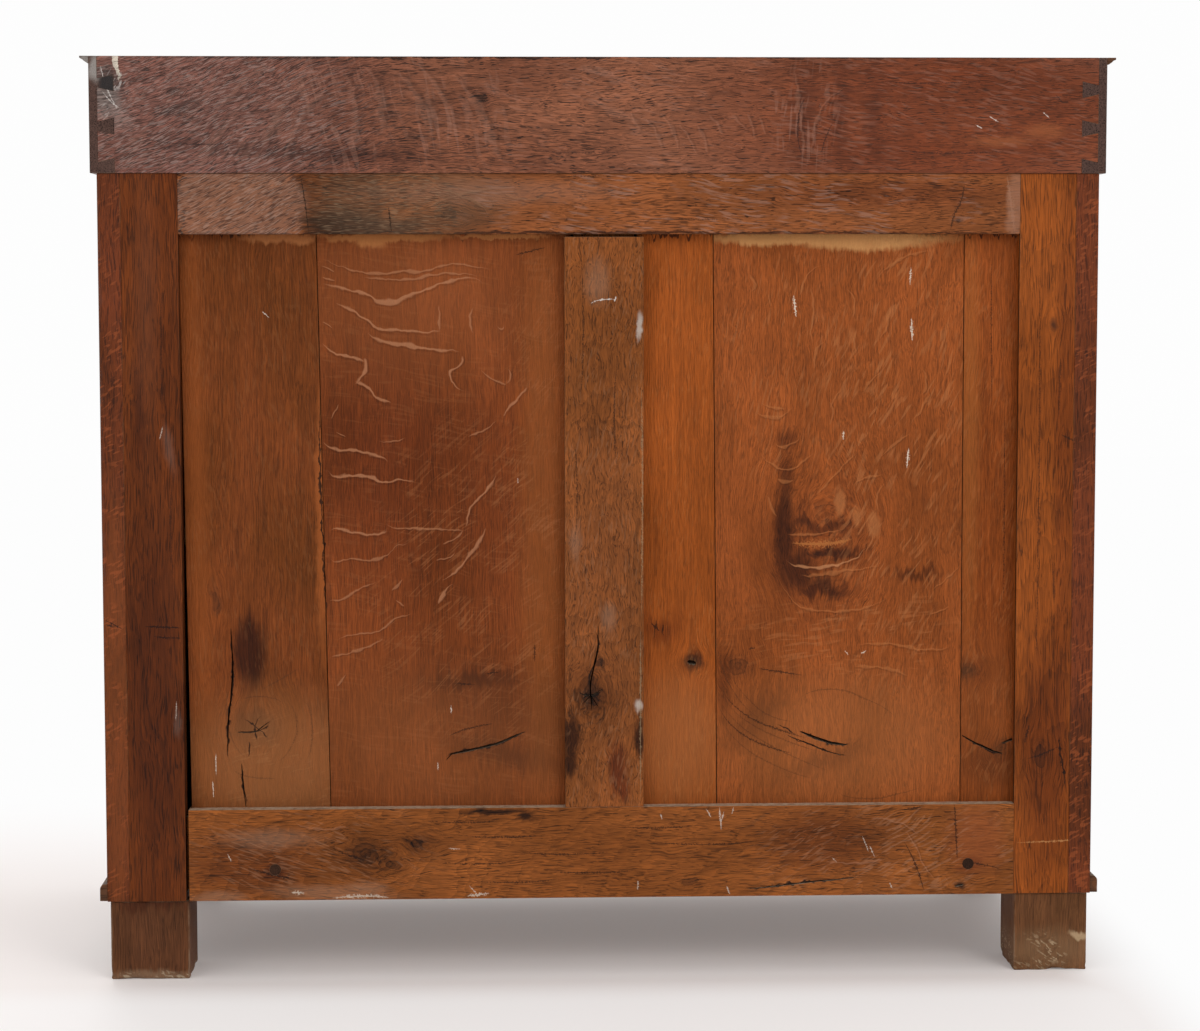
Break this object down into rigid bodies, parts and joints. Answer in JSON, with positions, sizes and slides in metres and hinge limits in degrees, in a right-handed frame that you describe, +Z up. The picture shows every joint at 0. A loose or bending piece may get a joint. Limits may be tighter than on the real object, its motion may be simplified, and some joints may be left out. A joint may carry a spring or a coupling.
{
  "type": "credenza",
  "caption": "Old oak credenza: a dovetailed frieze box with drawers over a framed cupboard with panelled doors, a shelf, mouldings and square block feet.",
  "frame": {"origin": "on the floor under the middle of the whole part", "axes": "+Z up, the doors face -Y and the back faces +Y, +X to the right as seen from the front"},
  "size_m": [1.129, 0.552, 1.016],
  "materials": {
    "oak": "old waxed oak",
    "oak_dark": "dark old oak, dusty",
    "oak_panel": "old oak boards, dull",
    "oak_inside": "bare oak",
    "iron": "dark forged",
    "brass": "aged"
  },
  "bodies": {
    "case": {"frieze_back": "oak", "frieze_side_left": "oak_dark", "frieze_side_right": "oak_dark", "frieze_front_rails": "oak", "frieze_divider": "oak", "top_panel": "oak", "top_mouldings": "oak_dark", "drawer_floor": "oak_inside", "drawer_guide": "oak_inside", "back_stile_left": "oak", "back_stile_right": "oak", "back_top_rail": "oak", "back_bottom_rail": "oak", "back_muntin": "oak", "back_panel_left": "oak_panel", "back_panel_right": "oak_panel", "back_pegs": "oak_dark", "side_left_stile": "oak", "side_left_rails": "oak", "side_left_panel": "oak_panel", "side_right_stile": "oak", "side_right_rails": "oak", "side_right_panel": "oak_panel", "front_post_left": "oak", "front_post_right": "oak", "front_rails": "oak", "case_bottom": "oak_inside", "shelf": "oak_inside", "shelf_cleats": "oak_inside", "hinge_pintles": "iron", "base_mouldings": "oak_dark", "foot_back_left": "oak_dark", "foot_back_right": "oak_dark", "foot_front_left": "oak_dark", "foot_front_right": "oak_dark"},
    "drawer_left": {"drawer_left_front": "oak", "drawer_left_sides": "oak_inside", "drawer_left_back": "oak_inside", "drawer_left_bottom": "oak_inside", "drawer_left_knob": "oak_dark"},
    "drawer_right": {"drawer_right_front": "oak", "drawer_right_sides": "oak_inside", "drawer_right_back": "oak_inside", "drawer_right_bottom": "oak_inside", "drawer_right_knob": "oak_dark"},
    "door_left": {"door_left_stiles": "oak", "door_left_rails": "oak", "door_left_panel": "oak", "door_left_hinges": "iron", "bolt_staples": "iron"},
    "door_right": {"door_right_stiles": "oak", "door_right_rails": "oak", "door_right_panel": "oak", "door_right_hinges": "iron", "lock_case": "iron", "escutcheon": "brass"},
    "key": {"key": "brass"},
    "lock_bolt": {"lock_bolt": "iron"},
    "slide_bolt": {"slide_bolt": "iron"}
  },
  "joints": [
    {"name": "drawer_left_slide", "type": "slide", "parent": "case", "child": "drawer_left", "axis": [0, -1, 0], "range_m": [0, 0.34]},
    {"name": "drawer_right_slide", "type": "slide", "parent": "case", "child": "drawer_right", "axis": [0, -1, 0], "range_m": [0, 0.34]},
    {"name": "door_left_hinge", "type": "hinge", "parent": "case", "child": "door_left", "pos_m": [-0.485, -0.241, 0.4915], "axis": [0, 0, -1], "range_deg": [0, 175]},
    {"name": "door_right_hinge", "type": "hinge", "parent": "case", "child": "door_right", "pos_m": [0.485, -0.241, 0.4915], "axis": [0, 0, 1], "range_deg": [0, 175]},
    {"name": "key_turn", "type": "hinge", "parent": "door_right", "child": "key", "pos_m": [0.0355, -0.236, 0.4945], "axis": [0, -1, 0], "range_deg": [0, 180]},
    {"name": "lock_bolt_slide", "type": "slide", "parent": "door_right", "child": "lock_bolt", "axis": [-1, 0, 0], "range_m": [0, 0.009]},
    {"name": "slide_bolt_slide", "type": "slide", "parent": "door_left", "child": "slide_bolt", "axis": [0, 0, 1], "range_m": [0, 0.016]}
  ],
  "couplings": [
    {"joint": "key_turn", "follows": "lock_bolt_slide", "rad_per_m": 349.06}
  ]
}
